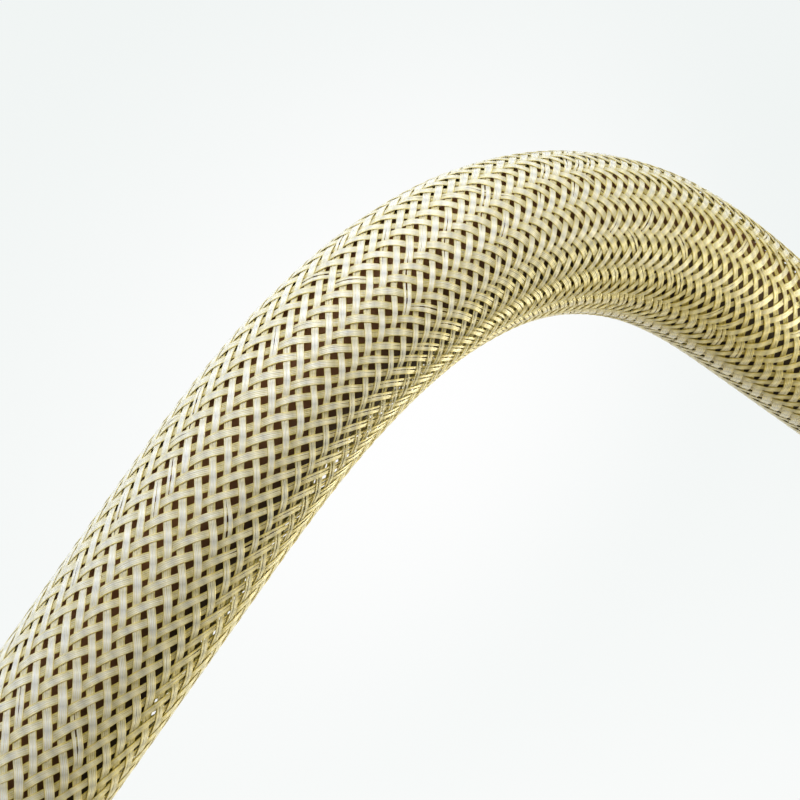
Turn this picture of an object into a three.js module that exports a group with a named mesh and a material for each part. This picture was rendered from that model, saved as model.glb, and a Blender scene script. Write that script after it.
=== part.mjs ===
// Braided cable sleeve with its inner tube, lying flat in one bend.
// Millimetres, +Z up. The origin is at the bottom centre of the bounding box.
// The sleeve starts at the cut end of its first leg, runs along +Y and turns towards +X.

import * as THREE from 'three';

// Stock length along the centre line, with the two straight legs and the bend between them
const LENGTH = 305;
const FIRST_LEG = 100;
const EASE_IN = 50;
const EASE_OUT = 56;
const TIGHTEST_RADIUS = 36;

// Sleeve: the envelope of the woven wall
const SLEEVE_DIAMETER = 20;
const SLEEVE_WALL = 0.8;
const SLEEVE_SIDES = 24;

// Inner tube: it lies on the bottom of the sleeve's bore
const TUBE_DIAMETER = 16;
const TUBE_WALL = 0.9;
const TUBE_SIDES = 20;
const SEAT_CLEARANCE = 0.3;

// Accuracy of the sweep
const SWEEP_STEPS = 40;
const PATH_STEP = 0.5;

const SLEEVE_COLOUR = 0xd9c08c;
const TUBE_COLOUR = 0x5a3620;

// The centre line in a horizontal plane: straight, tighter and tighter to the tightest radius,
// then wider and wider again until the second leg is straight
class BendLine extends THREE.Curve {
  constructor(height) {
    super();
    this.points = [new THREE.Vector3(0, 0, height)];
    this.stepCount = Math.round(LENGTH / PATH_STEP);
    this.stepLength = LENGTH / this.stepCount;
    let heading = 0;
    for (let i = 0; i < this.stepCount; i += 1) {
      const turn = curvatureAt((i + 0.5) * this.stepLength) * this.stepLength;
      const middle = heading + turn / 2;
      const next = this.points[i].clone();
      next.x += Math.sin(middle) * this.stepLength;
      next.y += Math.cos(middle) * this.stepLength;
      this.points.push(next);
      heading += turn;
    }
  }

  getPoint(t, target = new THREE.Vector3()) {
    const place = THREE.MathUtils.clamp(t, 0, 1) * this.stepCount;
    const i = Math.min(Math.floor(place), this.stepCount - 1);
    return target.lerpVectors(this.points[i], this.points[i + 1], place - i);
  }
}

function curvatureAt(along) {
  const intoBend = along - FIRST_LEG;
  if (intoBend <= 0 || intoBend >= EASE_IN + EASE_OUT) {
    return 0;
  }
  const share = intoBend < EASE_IN
    ? intoBend / EASE_IN
    : (EASE_IN + EASE_OUT - intoBend) / EASE_OUT;
  return share / TIGHTEST_RADIUS;
}

// A regular polygon around a circle, with flats at the top, bottom and both sides
function polygonPoints(flatRadius, sides) {
  const cornerRadius = flatRadius / Math.cos(Math.PI / sides);
  return Array.from({ length: sides }, (_, i) => {
    const angle = ((i + 0.5) * 2 * Math.PI) / sides;
    return new THREE.Vector2(cornerRadius * Math.cos(angle), cornerRadius * Math.sin(angle));
  });
}

// A hollow tube swept along the bend, open at both cut ends
function hollowTube(name, diameter, wall, sides, height, colour, roughness) {
  const section = new THREE.Shape(polygonPoints(diameter / 2, sides));
  section.holes.push(new THREE.Path(polygonPoints(diameter / 2 - wall, sides)));
  const geometry = new THREE.ExtrudeGeometry(section, {
    steps: SWEEP_STEPS,
    bevelEnabled: false,
    extrudePath: new BendLine(height),
  });
  const material = new THREE.MeshStandardMaterial({ color: colour, roughness, metalness: 0 });
  const mesh = new THREE.Mesh(geometry, material);
  mesh.name = name;
  return mesh;
}

const sleeveHeight = SLEEVE_DIAMETER / 2;
const tubeHeight = SLEEVE_WALL + SEAT_CLEARANCE + TUBE_DIAMETER / 2;

const part = new THREE.Group();
part.add(hollowTube(
  'braid_sleeve', SLEEVE_DIAMETER, SLEEVE_WALL, SLEEVE_SIDES, sleeveHeight, SLEEVE_COLOUR, 0.35,
));
part.add(hollowTube(
  'inner_tube', TUBE_DIAMETER, TUBE_WALL, TUBE_SIDES, tubeHeight, TUBE_COLOUR, 0.5,
));

// The bounding box's bottom centre goes to the origin
const bounds = new THREE.Box3().setFromObject(part);
const centre = bounds.getCenter(new THREE.Vector3());
part.position.set(-centre.x, -centre.y, -bounds.min.z);

export default part;
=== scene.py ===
"""Braided cable sleeve: woven golden monofilament over a smooth brown inner tube, lying in one bend."""

import bpy
import numpy as np
from mathutils import Matrix, Vector


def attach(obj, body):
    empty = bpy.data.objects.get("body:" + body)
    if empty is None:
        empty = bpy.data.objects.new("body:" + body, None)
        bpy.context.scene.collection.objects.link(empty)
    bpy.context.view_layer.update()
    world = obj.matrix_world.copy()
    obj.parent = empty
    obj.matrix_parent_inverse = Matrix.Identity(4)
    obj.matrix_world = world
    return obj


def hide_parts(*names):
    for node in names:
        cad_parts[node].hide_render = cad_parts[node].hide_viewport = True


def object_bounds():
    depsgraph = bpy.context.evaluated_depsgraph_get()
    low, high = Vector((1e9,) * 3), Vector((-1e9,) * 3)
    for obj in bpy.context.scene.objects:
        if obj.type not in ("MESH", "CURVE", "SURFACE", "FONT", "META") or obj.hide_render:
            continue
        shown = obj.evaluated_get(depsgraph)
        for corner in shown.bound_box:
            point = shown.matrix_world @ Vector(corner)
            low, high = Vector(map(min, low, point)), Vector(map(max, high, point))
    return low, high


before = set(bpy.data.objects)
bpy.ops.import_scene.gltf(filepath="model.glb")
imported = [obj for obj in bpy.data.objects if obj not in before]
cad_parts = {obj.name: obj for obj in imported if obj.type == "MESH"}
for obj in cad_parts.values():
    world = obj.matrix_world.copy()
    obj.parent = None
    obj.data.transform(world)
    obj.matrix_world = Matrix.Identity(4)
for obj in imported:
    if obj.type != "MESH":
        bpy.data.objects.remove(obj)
cad_low, cad_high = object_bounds()

# Lengths in this script are in millimetres, unless a comment says metres. MM turns them into metres.
MM = 0.001
SEED = 7

# The centre line, as in the frame: first leg, tightening and widening bend, second leg
LENGTH = 305.0
FIRST_LEG = 100.0
EASE_IN = 50.0
EASE_OUT = 56.0
TIGHTEST_RADIUS = 36.0
PATH_STEP = 0.25

# The braid: the bundles that turn each way, and the filaments in the two strands of each bundle
SLEEVE_RADIUS = 10.0
BUNDLES = 32
SPACING = 2 * np.pi / BUNDLES
STRANDS = (2, 3)
FILAMENTS = sum(STRANDS)
FILAMENT_WIDTH = 0.2
BUNDLE_THICKNESS = 0.12
BUNDLES_PER_PIECE = 16

# Heights in a strand's section, from its middle, as shares of its thickness
CROWN = 0.5
VALLEY = 0.12

# How many rings a float over two bundles has, and how near to a cut end one may lie, in steps
STEPS_PER_FLOAT = 4
END_CLEARANCE = 0.2

# Half of how far a bundle dives under the others, in the legs and in the bend
WAVE_HEIGHT = 0.09
BEND_WAVE_HEIGHT = 0.14

# How far a bundle sways as it rises and dives, in bundle spacings, so that large and small openings
# take turns
GATHERING = 0.07

# Axial distance between neighbouring bundles: wide in the two legs, close in the bend. The first leg's
# changes into the second leg's over a spread of its own.
FIRST_LEG_PITCH = 3.11
SECOND_LEG_PITCH = 3.3
PITCH_SPREAD = 10.0
TIGHT_PITCH = 1.5
TIGHT_PLACE = 153.0
TIGHT_SPREAD = 40.5

# The twist of the whole braid, in bundle spacings per millimetre. It slackens where the bend starts
# and stops in the bend.
TWIST = 0.0543
SLACK_SHARE = 0.89
SLACK_PLACE = 107.3
SLACK_SPREAD = 23.7
TWIST_END = 158.8
TWIST_END_SPREAD = 2.5

# The second leg's bundles lie further apart on the side that faces this way
OPEN_SIDE = (-0.697, 0.717)
OPENING = 0.36
OPENING_PLACE = 176.0
OPENING_SPREAD = 15.3

# The angle of the bend's upper inner side, in radians from the right of the centre line
INNER_SIDE = 1.0

# Where the bundles part into loose strands on that side: a place on the centre line and its reach, how
# sharply this fades away from the side, and the gap between the strands there
LOOSE_PLACE = 124.0
LOOSE_SPREAD = 27.0
LOOSE_SHARPNESS = 6
LOOSE_GAP = 0.25

# Shares by which the bundles are narrower: all round the bend, on the bend's inner side and near the
# loose strands. Those that turn left narrow by less.
BEND_NARROWING = 0.06
INNER_NARROWING = 0.2
LOOSE_NARROWING = 0.28
LEFT_SHARE = 0.56

# The side away from the camera, where the bundles are wider: its angle in radians, the cosine of the
# angle from it where that starts, the range of the cosine in which it grows, the share by which they
# are wider, and the share of this that is lost on the bend's inner side
DENSE_SIDE = 5.36
DENSE_START = -0.65
DENSE_RANGE = 0.5
DENSE_WIDENING = 0.38
DENSE_LOSS = 0.9

# What is uneven along each bundle: how far it wanders sideways, the share by which its width changes,
# and the wavelengths of both
SIDE_WANDER = 0.1
SIDE_WAVES = (9.0, 23.0, 61.0)
WIDTH_WANDER = 0.12
WIDTH_WAVES = (7.0, 17.0, 41.0)

# The gap that opens here and there between a bundle's strands: its width, the height of the wandering
# wave at which it starts, how fast it then opens, and the wavelengths
STRAND_GAP = 0.2
GAP_START = 0.6
GAP_RISE = 3.0
GAP_WAVES = (11.0, 19.0, 53.0)

# How golden a bundle looks: the middle of the two families, how far each lies from it, and what the second
# leg and the inner side add.
# This is painted light. The family that turns right is paler, as a painted highlight.
# The family that turns left, the second leg and the inner side are more golden and darker, as painted
# shade.
GOLDEN_MIDDLE = 0.05
GOLDEN_FAMILY = 0.5
GOLDEN_SECOND_LEG = 1.5
GOLDEN_PLACE = 165.0
GOLDEN_SPREAD = 10.0
GOLDEN_INNER = 1.3

# The least share of the painted shade over the bare liner, which the side away from the bend's inner side
# has
LEAST_BARE = 0.25

# Where the braid starts round the sleeve, in bundle spacings
START_TURN = 0.34
START_TWIST = -0.51

# The fused rims that keep the two cut ends from fraying
RIM_WIDTH = 0.9
RIM_DEPTH = 0.5
RIM_STEPS = 192
RIM_PROFILE = ((0, 0.3), (0.15, 0), (0.8, 0), (1, 0.3), (1, 0.7), (0.8, 1), (0.15, 1), (0, 0.7))

# Each wave in a rim's width: its reach as a share, how often it goes round, and its phase
RIM_WAVES = ((0.12, 9, 0), (0.1, 23, 1))

# The inner tube, resting on the bottom of the sleeve's bore
TUBE_RADIUS = 8.0
TUBE_WALL = 0.9
TUBE_HEIGHT = 9.1
TUBE_SIDES = 64
TUBE_STEP = 5.0

# The camera in the frame's millimetres: its place, a point it looks at and the picture's upward direction
CAMERA_PLACE = Vector((-186.27, 33.31, 138.50))
CAMERA_TARGET = Vector((-61.43, 34.43, 10.00))
PICTURE_UP = Vector((-0.41863, 0.81552, -0.39959))
CAMERA_LENS = 67.5
SENSOR_WIDTH = 36.0

# The soft lights shine on one place. Each has a name, the direction and distance it stands in, its
# diameter, its power in watts and its colour.
LIT_PLACE = Vector((-40.0, 40.0, 10.0))
LIGHTS = (
    ("main_light", (-0.9, 0.4, 0.17), 280.0, 190.0, 0.58, (0.98, 1.0, 1.06)),
    ("rim_light", (0.86, 0.35, 0.37), 600.0, 400.0, 3.85, (1.0, 0.92, 0.58)),
    ("low_rim_light", (0.99, -0.05, 0.1), 600.0, 400.0, 0.8, (1.0, 0.95, 0.72)),
    ("front_light", (0.0, -0.99, 0.14), 1000.0, 667.0, 3.6, (1.0, 0.86, 0.44)),
    ("top_light", (0.0, 0.42, 0.91), 350.0, 233.0, 0.53, (1.0, 0.96, 0.84)),
)

# The backdrop is as pale as the floor far out, and its light is this share of what the camera sees
FAR_FLOOR = (0.876, 0.910, 0.901)
BACKDROP_LIGHT = 0.01

# The glowing floor: its width, how far below the sleeve it lies, the place round which its painted pool of
# light is brightest and the reach of that, all in metres, the direction in which it gets brighter, and its
# colours
FLOOR_SIZE = 6.0
FLOOR_DROP = 0.0002
BRIGHT_PLACE = (-0.052, 0.036, 0.0)
BRIGHT_REACH = 0.07
BRIGHTER_WAY = (0.457, -0.890, 0.0)
BRIGHT_FLOOR = (1.0, 1.0, 1.0)
NEAR_FLOOR = (0.940, 0.958, 0.950)

# Where on that way the floor gets brighter, and how far out it is even again, in metres
BRIGHTER_SPAN = (-0.1, 0.02)
EVEN_SPAN = (1.5, 0.3)

# The filaments' colours, from the pale floats to the golden edges
PALE = (0.955, 0.945, 0.83)
CREAM = (0.915, 0.81, 0.45)
GOLD = (0.745, 0.575, 0.115)

# What makes a filament golden: where it starts, and the weight of each part. All parts but the streaks are
# painted light.
# The bundle's edges, the valleys between filaments and the places where a bundle dives under get painted
# shade.
# The edges also get the deeper tint that light takes through them. The families, second leg and inner side
# get painted golden shade.
TONE_START = -0.22
EDGE_TONE = 0.85
VALLEY_PAINTED_SHADE = 0.38
LIFT_PAINTED_SHADE = -0.2
GOLDEN_TONE = 0.15
STREAK_TONE = 0.8

# What makes it bright or dark: where it starts, and the weight of each part. The parts are painted shade
# over the bare liner, painted glint highlights and painted golden shade.
SHADE_START = 0.93
BARE_SHADE = -0.4
GLINT_PAINTED_HIGHLIGHT = 0.3
GOLDEN_SHADE = -0.04

# The glints' range, and how rough the filaments are at its two ends
GLINT_SPAN = (0.3, 0.7)
ROUGHNESS_SPAN = (0.42, 0.18)

# The colours of the fused rims and of the inner tube, whose dark end is painted shade and pale end painted
# light, and how strong the tube's clouds are
RIM_DARK = (0.62, 0.47, 0.14)
RIM_PALE = (0.80, 0.70, 0.36)
LINER_DARK = (0.04, 0.022, 0.014)
LINER_PALE = (0.31, 0.145, 0.055)
LINER_CLOUDS = 0.3

rng = np.random.default_rng(SEED)


class CentreLine:
    """The sleeve's centre line, as places and headings along it."""

    def __init__(self):
        count = round(LENGTH / PATH_STEP)
        step = LENGTH / count
        middle = (np.arange(count) + 0.5) * step
        into_bend = middle - FIRST_LEG
        bend_length = EASE_IN + EASE_OUT
        share = np.where(into_bend < EASE_IN, into_bend / EASE_IN, (bend_length - into_bend) / EASE_OUT)
        turn = np.clip(share, 0.0, 1.0) / TIGHTEST_RADIUS * step
        heading = np.concatenate([[0.0], np.cumsum(turn)])
        between = (heading[1:] + heading[:-1]) / 2
        start_x = cad_low.x / MM + SLEEVE_RADIUS
        start_y = cad_low.y / MM
        self.along = np.arange(count + 1) * step
        self.x = start_x + np.concatenate([[0.0], np.cumsum(np.sin(between) * step)])
        self.y = start_y + np.concatenate([[0.0], np.cumsum(np.cos(between) * step)])
        self.heading = heading

    def surface(self, along, angle, radius, height):
        """Points round the centre line. Angle 0 points to its right, and a quarter turn points up."""
        x = np.interp(along, self.along, self.x)
        y = np.interp(along, self.along, self.y)
        heading = np.interp(along, self.along, self.heading)
        across = radius * np.cos(angle)
        level = height + radius * np.sin(angle) + 0 * x
        return np.stack([x + across * np.cos(heading), y - across * np.sin(heading), level], -1)


line = CentreLine()


def unit(vectors):
    return vectors / np.linalg.norm(vectors, axis=-1, keepdims=True)


def facing(angle, side):
    """From 1 on the side at an angle down to 0 on the opposite side."""
    return 0.5 + 0.5 * np.cos(angle - side)


def ring_faces(tubes, count, sides, closed_ends):
    """The corners of all faces in one row, and how many of them each face has."""
    index = np.arange(tubes * count * sides).reshape(tubes, count, sides)
    following = np.roll(index, -1, axis=2)
    quads = np.stack([index[:, :-1], following[:, :-1], following[:, 1:], index[:, 1:]], -1).reshape(-1, 4)
    corners = [quads.ravel()]
    sizes = [np.full(len(quads), 4)]
    if closed_ends:
        corners += [index[:, 0, ::-1].ravel(), index[:, -1].ravel()]
        sizes += [np.full(tubes, sides), np.full(tubes, sides)]
    return np.concatenate(corners), np.concatenate(sizes)


def mark_sharp(mesh, sides, sharp):
    """Marks the edges as sharp that run along the tubes at some of the rings' points."""
    ends = np.zeros(len(mesh.edges) * 2, np.int32)
    mesh.edges.foreach_get("vertices", ends)
    point = ends.reshape(-1, 2) % sides
    crease = (point[:, 0] == point[:, 1]) & np.isin(point[:, 0], sharp)
    mesh.attributes.new("sharp_edge", "BOOLEAN", "EDGE").data.foreach_set("value", crease)


def grid_mesh(name, rings, closed_ends=True, sharp=(), vectors=None, floats=None):
    """A mesh of tubes from rings, an array of tube, ring, point and place. Closed across each ring."""
    tubes, count, sides = rings.shape[:3]
    corners, sizes = ring_faces(tubes, count, sides, closed_ends)
    mesh = bpy.data.meshes.new(name)
    mesh.vertices.add(tubes * count * sides)
    mesh.vertices.foreach_set("co", (rings * MM).ravel().astype(np.float32))
    mesh.loops.add(len(corners))
    mesh.loops.foreach_set("vertex_index", corners.astype(np.int32))
    mesh.polygons.add(len(sizes))
    mesh.polygons.foreach_set("loop_start", (np.cumsum(sizes) - sizes).astype(np.int32))
    mesh.update(calc_edges=True)
    mesh.validate()
    mesh.polygons.foreach_set("use_smooth", np.ones(len(sizes), bool))
    if len(sharp):
        mark_sharp(mesh, sides, sharp)
    for label, values in (vectors or {}).items():
        layer = mesh.attributes.new(label, "FLOAT_VECTOR", "POINT")
        layer.data.foreach_set("vector", values.ravel().astype(np.float32))
    for label, values in (floats or {}).items():
        layer = mesh.attributes.new(label, "FLOAT", "POINT")
        layer.data.foreach_set("value", values.ravel().astype(np.float32))
    return mesh


def add_piece(name, mesh, material, slot, *nodes):
    """Puts a mesh into the scene as a piece that stands for CAD nodes."""
    piece = bpy.data.objects.new(name, mesh)
    bpy.context.scene.collection.objects.link(piece)
    mesh.materials.append(material)
    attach(piece, "root")
    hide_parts(*nodes)


# The braid


def crowding(along):
    """How far the braid is pushed together, from 0 in the relaxed legs to 1 in the bend."""
    return np.exp(-(((along - TIGHT_PLACE) / TIGHT_SPREAD) ** 2))


def rising(along, place, spread):
    """A smooth step from 0 to 1 round a place on the centre line."""
    return 1 / (1 + np.exp(-(along - place) / spread))


def running_sum(rate):
    """The sum of a rate along the centre line, from its start to each place."""
    return np.concatenate([[0.0], np.cumsum((rate[1:] + rate[:-1]) / 2 * np.diff(line.along))])


def braid_turn():
    """How far a bundle has turned round the sleeve at each place of the centre line."""
    share = rising(line.along, TIGHT_PLACE, PITCH_SPREAD)
    relaxed = FIRST_LEG_PITCH + (SECOND_LEG_PITCH - FIRST_LEG_PITCH) * share
    pitch = relaxed - (relaxed - TIGHT_PITCH) * crowding(line.along)
    return SPACING * (START_TURN + running_sum(1 / pitch))


def braid_twist():
    """How far the whole braid is twisted at each place of the centre line."""
    slack = SLACK_SHARE * np.exp(-(((line.along - SLACK_PLACE) / SLACK_SPREAD) ** 2))
    rate = TWIST * (1 - slack) * rising(-line.along, -TWIST_END, TWIST_END_SPREAD)
    return SPACING * (START_TWIST + running_sum(rate))


def spread_out(angle, along):
    """Moves bundles of the second leg away from its open side, so that they lie further apart there."""
    heading = np.interp(along, line.along, line.heading)
    open_angle = np.arctan2(OPEN_SIDE[1], OPEN_SIDE[0] * np.cos(heading))
    share = OPENING * rising(along, OPENING_PLACE, OPENING_SPREAD)
    return angle + share * np.sin(angle - open_angle)


def near_loose_place(along):
    """From 1 at the place of the loose strands down to 0 away from it."""
    return np.exp(-(((along - LOOSE_PLACE) / LOOSE_SPREAD) ** 2))


def looseness(along, angle):
    """How far a bundle's filaments part: most on the upper inner side where the bend starts."""
    return near_loose_place(along) * np.clip(np.cos(angle - INNER_SIDE), 0.0, 1.0) ** LOOSE_SHARPNESS


def strand_profile(first, count):
    """A strand's section: round filaments side by side outside, flat inside. The valleys are sharp.

    A strand of two filaments has one point on its inside, and one of three has two.
    """
    left = first - FILAMENTS / 2
    points, sharp = [], []
    for i in range(count):
        sharp.append(len(points))
        points.append((left + i, 0.0 if i == 0 else VALLEY))
        points.append((left + i + 0.5, CROWN))
    sharp.append(len(points))
    points.append((left + count, 0.0))
    inset = count / 3
    inside = [(left + count - inset, -CROWN), (left + inset, -CROWN)]
    points += inside[: count - 1]
    return np.array(points), sharp


def wander(count, places, reach, wavelengths):
    """Slow uneven change along each bundle: a few waves with random phases, within a reach."""
    total = np.zeros((count, len(places)))
    for wavelength in wavelengths:
        phase = rng.uniform(0, 2 * np.pi, (count, 1))
        total += np.sin(2 * np.pi * places / wavelength + phase)
    return reach * total / len(wavelengths)


def ring_places():
    """How far a bundle has turned at each of its rings, and where on the centre line they are."""
    turn = braid_turn()
    step = SPACING / STEPS_PER_FLOAT
    first = np.ceil(turn[0] / step + END_CLEARANCE)
    between = np.arange(first, turn[-1] / step - END_CLEARANCE) * step
    turns = np.concatenate([turn[:1], between, turn[-1:]])
    return turns, np.interp(turns, turn, line.along)


def ring_directions(place, middle):
    """At each ring the direction across the bundle and the one out of the sleeve, square to its run."""
    forward = unit(np.gradient(place, axis=1))
    across = unit(np.cross(forward, unit(place - middle)))
    return across, unit(np.cross(across, forward))


def filament_width(direction, along, angle, inner):
    """Narrower in the bend and near the loose strands, wider on the dense side, and a little uneven."""
    narrowing = (BEND_NARROWING + INNER_NARROWING * inner**2) * crowding(along)
    narrowing = narrowing + LOOSE_NARROWING * near_loose_place(along) * inner
    if direction < 0:
        narrowing = narrowing * LEFT_SHARE
    dense = np.clip((np.cos(angle - DENSE_SIDE) - DENSE_START) / DENSE_RANGE, 0.0, 1.0)
    dense = dense * (1 - DENSE_LOSS * inner * crowding(along))
    width = FILAMENT_WIDTH * (1 - narrowing) * (1 + DENSE_WIDENING * dense)
    return width * (1 + wander(BUNDLES, along, WIDTH_WANDER, WIDTH_WAVES))


def strand_gap(along, angle):
    """The gap between a bundle's strands: here and there, and where the strands are loose."""
    opened = np.clip((wander(BUNDLES, along, 1.0, GAP_WAVES) - GAP_START) * GAP_RISE, 0.0, 1.0)
    return STRAND_GAP * opened + LOOSE_GAP * looseness(along, angle)


def golden_tone(direction, along, inner):
    """Painted light: more golden, as painted shade, in the family that turns left, in the second leg and
    on the inner side, and paler, as a painted highlight, in the family that turns right.
    """
    golden_painted_shade = GOLDEN_MIDDLE - GOLDEN_FAMILY * direction + GOLDEN_INNER * inner**2
    return golden_painted_shade + GOLDEN_SECOND_LEG * rising(along, GOLDEN_PLACE, GOLDEN_SPREAD)


def braid_family(direction):
    """Each strand of all bundles that turn one way: its rings, its sharp places and its attributes."""
    turns, along = ring_places()
    angle = np.arange(BUNDLES)[:, None] * SPACING + direction * turns
    lift = direction * np.cos(BUNDLES / 2 * (angle - SPACING / 4))
    # Painted shade: between crossings, where only the liner lies behind a bundle
    liner_painted_shade = 0.5 - 0.5 * np.cos(2 * BUNDLES * angle)
    gathered = angle - GATHERING * SPACING * direction * lift
    angle = spread_out(gathered + np.interp(along, line.along, braid_twist()), along)
    angle = angle + wander(BUNDLES, along, SIDE_WANDER, SIDE_WAVES) / SLEEVE_RADIUS
    wave = WAVE_HEIGHT + (BEND_WAVE_HEIGHT - WAVE_HEIGHT) * crowding(along)
    radius = SLEEVE_RADIUS - BUNDLE_THICKNESS / 2 - wave * (1 - lift)
    stations = along + 0 * angle
    place = line.surface(stations, angle, radius, SLEEVE_RADIUS)
    width_way, out = ring_directions(place, line.surface(stations, angle, 0 * radius, SLEEVE_RADIUS))
    inner = facing(angle, INNER_SIDE)
    width = filament_width(direction, along, angle, inner)
    gap = strand_gap(along, angle)
    # The lift, which also sets painted shade where a bundle dives, the painted shade over the liner and
    # the painted golden shade
    looks = {
        "lift": lift,
        "liner_painted_shade": liner_painted_shade * (LEAST_BARE + (1 - LEAST_BARE) * np.sqrt(inner)),
        "golden_painted_shade": golden_tone(direction, along, inner),
    }
    number = rng.uniform(0, 1, (BUNDLES, 1, 1))
    strands = []
    for i, count in enumerate(STRANDS):
        profile, sharp = strand_profile(sum(STRANDS[:i]), count)
        across = profile[:, 0] * width[..., None] + (i - 0.5) * gap[..., None]
        rings = (
            place[:, :, None]
            + width_way[:, :, None] * across[..., None]
            + out[:, :, None] * (profile[:, 1] * BUNDLE_THICKNESS)[:, None]
        )
        shape = rings.shape[:3]
        strand = np.stack([
            np.broadcast_to(profile[:, 0] / FILAMENTS + 0.5, shape),
            np.broadcast_to(along[None, :, None], shape),
            np.broadcast_to(number, shape),
        ], -1)
        floats = {label: np.broadcast_to(values[..., None], shape) for label, values in looks.items()}
        strands.append((rings, sharp, strand, floats))
    return strands


def build_braid(material):
    for family, direction in (("right", 1), ("left", -1)):
        strands = braid_family(direction)
        for first in range(0, BUNDLES, BUNDLES_PER_PIECE):
            some = slice(first, first + BUNDLES_PER_PIECE)
            for letter, (rings, sharp, strand, floats) in zip("ab", strands):
                name = f"braid_{family}_{first // BUNDLES_PER_PIECE + 1}{letter}"
                part = {label: values[some] for label, values in floats.items()}
                vectors = {"strand": strand[some]}
                mesh = grid_mesh(name, rings[some], sharp=sharp, vectors=vectors, floats=part)
                add_piece(name, mesh, material, "braid", "braid_sleeve")


def build_rims(material):
    """A rounded band round each cut end, a little uneven where the filaments have run together."""
    angle = np.linspace(0, 2 * np.pi, RIM_STEPS + 1)[:, None]
    profile = np.array(RIM_PROFILE)
    waves = sum(reach * np.sin(count * angle + phase) for reach, count, phase in RIM_WAVES)
    width = RIM_WIDTH * (1 + waves)
    radius = SLEEVE_RADIUS - RIM_DEPTH * profile[:, 1]
    first = line.surface(width * profile[:, 0], angle, radius, SLEEVE_RADIUS)
    second = line.surface(LENGTH - width * profile[:, 0], -angle, radius, SLEEVE_RADIUS)
    mesh = grid_mesh("fused_rims", np.stack([first, second]), closed_ends=False)
    add_piece("fused_rims", mesh, material, "braid", "braid_sleeve")


# The inner tube


def build_inner_tube(material):
    """One closed skin: along the outside to the far end, back along the inside, and out again."""
    along = np.linspace(0, LENGTH, round(LENGTH / TUBE_STEP) + 1)
    outside = np.full(len(along), TUBE_RADIUS)
    inside = outside - TUBE_WALL
    stations = np.concatenate([along, along[::-1], along[:1]])[:, None]
    radii = np.concatenate([outside, inside, outside[:1]])[:, None]
    angle = np.linspace(0, -2 * np.pi, TUBE_SIDES, endpoint=False)
    rings = line.surface(stations + 0 * angle, angle + 0 * stations, radii, TUBE_HEIGHT)
    # Painted light on the inner tube: 1 on the outside of the bend, where it is paler, down to 0 on the
    # inside, where it is painted dark
    painted_lit_side = np.broadcast_to(facing(angle, np.pi), rings.shape[:2])
    mesh = grid_mesh("inner_wall", rings[None], closed_ends=False, floats={"painted_lit_side": painted_lit_side})
    add_piece("inner_wall", mesh, material, "liner", "inner_tube")


# Materials


def new_material(name):
    material = bpy.data.materials.new(name)
    material.use_nodes = True
    nodes = material.node_tree.nodes
    return material, nodes, material.node_tree.links, nodes["Principled BSDF"]


def ramp(nodes, links, value, *stops):
    """Colours for a value. The first two stops are the ramp's two ends, and a third lies between."""
    node = nodes.new("ShaderNodeValToRGB")
    for i, (place, colour) in enumerate(stops):
        element = node.color_ramp.elements[i] if i < 2 else node.color_ramp.elements.new(place)
        element.position = place
        element.color = (*colour, 1.0)
    links.new(value, node.inputs[0])
    return node.outputs[0]


def maths(nodes, links, operation, first, second=0.0):
    """One operation on two sockets or numbers."""
    node = nodes.new("ShaderNodeMath")
    node.operation = operation
    for socket, value in zip(node.inputs, (first, second)):
        if isinstance(value, (int, float)):
            socket.default_value = value
        else:
            links.new(value, socket)
    return node.outputs[0]


def weighted_sum(nodes, links, start, *parts):
    """A start with each part added to it, times its own weight."""
    total = start
    for value, weight in parts:
        total = maths(nodes, links, "ADD", total, maths(nodes, links, "MULTIPLY", value, weight))
    return total


def towards_ends(nodes, links, value, power):
    """From 0 in the middle of the span of 0 to 1 up to 1 at both of its ends."""
    off_middle = maths(nodes, links, "ABSOLUTE", maths(nodes, links, "SUBTRACT", value, 0.5))
    return maths(nodes, links, "POWER", maths(nodes, links, "MULTIPLY", off_middle, 2.0), power)


def map_range(nodes, links, value, start, end, low=0.0, high=1.0, kind="LINEAR"):
    """Turns the range from start to end into the one from low to high."""
    node = nodes.new("ShaderNodeMapRange")
    node.interpolation_type = kind
    for label, number in (("From Min", start), ("From Max", end), ("To Min", low), ("To Max", high)):
        node.inputs[label].default_value = number
    links.new(value, node.inputs["Value"])
    return node.outputs["Result"]


def vector_maths(nodes, links, operation, first, second):
    """A number from a vector socket and a fixed vector."""
    node = nodes.new("ShaderNodeVectorMath")
    node.operation = operation
    links.new(first, node.inputs[0])
    node.inputs[1].default_value = second
    return node.outputs["Value"]


def object_place(nodes):
    return nodes.new("ShaderNodeTexCoord").outputs["Object"]


def stretched(nodes, links, parts, scales):
    """A place for a texture, each part of it times a scale of its own."""
    node = nodes.new("ShaderNodeCombineXYZ")
    for socket, part, scale in zip(node.inputs, parts, scales):
        links.new(maths(nodes, links, "MULTIPLY", part, scale), socket)
    return node.outputs[0]


def attribute(nodes, name, output="Fac"):
    node = nodes.new("ShaderNodeAttribute")
    node.attribute_name = name
    return node.outputs[output]


def noise(nodes, links, place, scale, detail):
    node = nodes.new("ShaderNodeTexNoise")
    node.inputs["Scale"].default_value = scale
    node.inputs["Detail"].default_value = detail
    links.new(place, node.inputs["Vector"])
    return node.outputs["Fac"]


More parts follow.
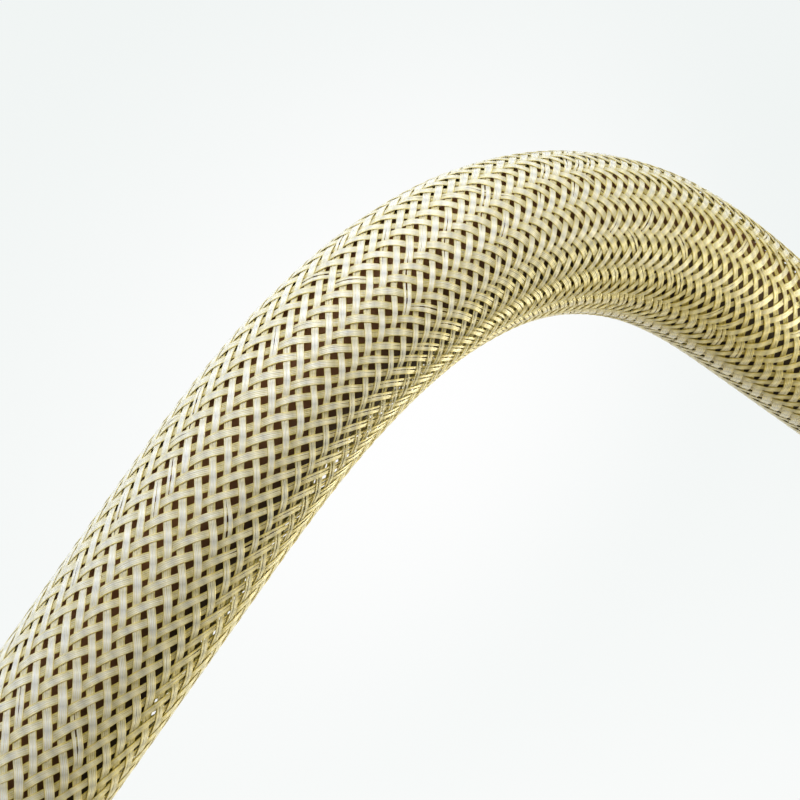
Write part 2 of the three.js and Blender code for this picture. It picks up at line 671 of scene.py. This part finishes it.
def filament_material():
    material, nodes, links, shader = new_material("golden_monofilament")
    split = nodes.new("ShaderNodeSeparateXYZ")
    links.new(attribute(nodes, "strand", "Vector"), split.inputs[0])
    across = split.outputs[0]
    # Painted golden shade, which is paler where highlights are painted
    golden_painted_shade = attribute(nodes, "golden_painted_shade")

    # Streaks that follow the filaments, and shorter glints
    streak_place = stretched(nodes, links, split.outputs, scales=(5.0, 0.25, 40.0))
    streak = noise(nodes, links, streak_place, scale=1.6, detail=3.0)
    glint_place = stretched(nodes, links, split.outputs, scales=(6.0, 1.6, 70.0))
    glint = noise(nodes, links, glint_place, scale=1.0, detail=2.0)

    # Painted shade: golden at the bundle's edges, between its filaments and where it dives under, pale on
    # the floats.
    # The golden edges also stand for the deeper tint that light takes through a filament's edge.
    edge = towards_ends(nodes, links, across, power=5.0)
    in_filament = maths(nodes, links, "FRACT", maths(nodes, links, "MULTIPLY", across, FILAMENTS))
    valley = towards_ends(nodes, links, in_filament, power=3.0)
    tone = weighted_sum(
        nodes,
        links,
        TONE_START,
        (edge, EDGE_TONE),
        (valley, VALLEY_PAINTED_SHADE),
        (attribute(nodes, "lift"), LIFT_PAINTED_SHADE),
        (golden_painted_shade, GOLDEN_TONE),
        (streak, STREAK_TONE),
    )
    colours = ramp(nodes, links, tone, (0.0, PALE), (1.0, GOLD), (0.5, CREAM))

    # Painted shade, a little darker where only the liner lies behind, painted glint highlights, brighter
    # and darker in fine patches, and painted golden shade
    shade = weighted_sum(
        nodes,
        links,
        SHADE_START,
        (attribute(nodes, "liner_painted_shade"), BARE_SHADE),
        (glint, GLINT_PAINTED_HIGHLIGHT),
        (golden_painted_shade, GOLDEN_SHADE),
    )
    dim = nodes.new("ShaderNodeVectorMath")
    dim.operation = "SCALE"
    links.new(colours, dim.inputs[0])
    links.new(shade, dim.inputs["Scale"])
    links.new(dim.outputs["Vector"], shader.inputs["Base Color"])

    # Smooth where it glints, and slightly wavy
    roughness = map_range(nodes, links, glint, *GLINT_SPAN, *ROUGHNESS_SPAN)
    links.new(roughness, shader.inputs["Roughness"])
    bump = nodes.new("ShaderNodeBump")
    bump.inputs["Strength"].default_value = 0.3
    bump.inputs["Distance"].default_value = 0.00006
    links.new(glint, bump.inputs["Height"])
    links.new(bump.outputs[0], shader.inputs["Normal"])
    shader.inputs["IOR"].default_value = 1.57
    shader.inputs["Subsurface Weight"].default_value = 0.3
    shader.inputs["Subsurface Radius"].default_value = (1.0, 0.92, 0.6)
    shader.inputs["Subsurface Scale"].default_value = 0.0005
    shader.inputs["Coat Weight"].default_value = 0.3
    shader.inputs["Coat Roughness"].default_value = 0.15
    return material


def rim_material():
    material, nodes, links, shader = new_material("fused_filament")
    cloud = noise(nodes, links, object_place(nodes), scale=900.0, detail=3.0)
    colours = ramp(nodes, links, cloud, (0.35, RIM_DARK), (0.65, RIM_PALE))
    links.new(colours, shader.inputs["Base Color"])
    shader.inputs["Roughness"].default_value = 0.35
    return material


def liner_material():
    """Brown and cloudy, with painted light: paler on the outside of the bend and near black, as painted
    shade, towards its inside.
    """
    material, nodes, links, shader = new_material("brown_liner")
    cloud = noise(nodes, links, object_place(nodes), scale=90.0, detail=4.0)
    off_middle = maths(nodes, links, "SUBTRACT", cloud, 0.5)
    tone = maths(nodes, links, "MULTIPLY", off_middle, LINER_CLOUDS)
    tone = maths(nodes, links, "ADD", tone, attribute(nodes, "painted_lit_side"))
    colours = ramp(nodes, links, tone, (0.45, LINER_DARK), (1.0, LINER_PALE))
    links.new(colours, shader.inputs["Base Color"])
    shader.inputs["Roughness"].default_value = 0.6
    shader.inputs["Specular IOR Level"].default_value = 0.2
    return material


def floor_material():
    """Glows with its own colour as painted light and takes no light, so that no shadow falls on it. Its
    glow also lights the sleeve.
    """
    material, nodes, links, shader = new_material("glowing_floor")
    place = object_place(nodes)

    # Painted light: a little brighter towards one side, as under a lamp, but even far out, where it meets
    # the backdrop
    side = vector_maths(nodes, links, "DOT_PRODUCT", place, BRIGHTER_WAY)
    slope = map_range(nodes, links, side, *BRIGHTER_SPAN)
    distance = vector_maths(nodes, links, "DISTANCE", place, BRIGHT_PLACE)
    near = map_range(nodes, links, distance, *EVEN_SPAN, kind="SMOOTHSTEP")
    lit = maths(nodes, links, "MULTIPLY", slope, near)
    even = ramp(nodes, links, lit, (0.0, FAR_FLOOR), (1.0, NEAR_FLOOR))

    # A painted pool of light, brightest round the bend
    blend = nodes.new("ShaderNodeMix")
    blend.data_type = "RGBA"
    blend.inputs["A"].default_value = (*BRIGHT_FLOOR, 1.0)
    fade = map_range(nodes, links, distance, 0.0, BRIGHT_REACH, kind="SMOOTHSTEP")
    links.new(fade, blend.inputs["Factor"])
    links.new(even, blend.inputs["B"])
    shader.inputs["Base Color"].default_value = (0.0, 0.0, 0.0, 1.0)
    shader.inputs["Specular IOR Level"].default_value = 0.0
    shader.inputs["Roughness"].default_value = 1.0
    # The floor glows: painted light, which also lights the sleeve
    links.new(blend.outputs["Result"], shader.inputs["Emission Color"])
    shader.inputs["Emission Strength"].default_value = 1.0
    return material


# Floor, lights and camera


def build_floor(material):
    """A plane just below the sleeve."""
    bpy.ops.mesh.primitive_plane_add(size=FLOOR_SIZE, location=(0, 0, -FLOOR_DROP))
    floor = bpy.context.object
    floor.name = "floor"
    floor.data.materials.append(material)


def build_world():
    """A pale backdrop behind the floor's edge that gives next to no light."""
    world = bpy.data.worlds.new("studio")
    bpy.context.scene.world = world
    world.use_nodes = True
    nodes, links = world.node_tree.nodes, world.node_tree.links
    path = nodes.new("ShaderNodeLightPath")
    strength = maths(nodes, links, "MAXIMUM", path.outputs["Is Camera Ray"], BACKDROP_LIGHT)
    background = nodes["Background"]
    background.inputs["Color"].default_value = (*FAR_FLOOR, 1.0)
    links.new(strength, background.inputs["Strength"])


def add_area_light(name, direction, distance, size, power, colour):
    """A round soft light that stands in a direction from the lit place and shines on it."""
    place = LIT_PLACE + Vector(direction).normalized() * distance
    data = bpy.data.lights.new(name, "AREA")
    data.shape = "DISK"
    data.size = size * MM
    data.energy = power
    data.color = colour
    light = bpy.data.objects.new(name, data)
    light.location = place * MM
    light.rotation_euler = (LIT_PLACE - place).to_track_quat("-Z", "Y").to_euler()
    bpy.context.scene.collection.objects.link(light)


def build_camera():
    back = (CAMERA_PLACE - CAMERA_TARGET).normalized()
    right = PICTURE_UP.cross(back).normalized()
    up = back.cross(right)
    data = bpy.data.cameras.new("camera")
    data.lens = CAMERA_LENS
    data.sensor_width = SENSOR_WIDTH
    data.clip_start = 0.001
    data.clip_end = 100.0
    camera = bpy.data.objects.new("camera", data)
    turned = Matrix((right, up, back)).transposed().to_4x4()
    camera.matrix_world = Matrix.Translation(CAMERA_PLACE * MM) @ turned
    bpy.context.scene.collection.objects.link(camera)
    bpy.context.scene.camera = camera


bpy.context.scene.view_settings.view_transform = "Standard"
build_camera()
build_world()
build_floor(floor_material())
for light in LIGHTS:
    add_area_light(*light)
build_braid(filament_material())
build_rims(rim_material())
build_inner_tube(liner_material())
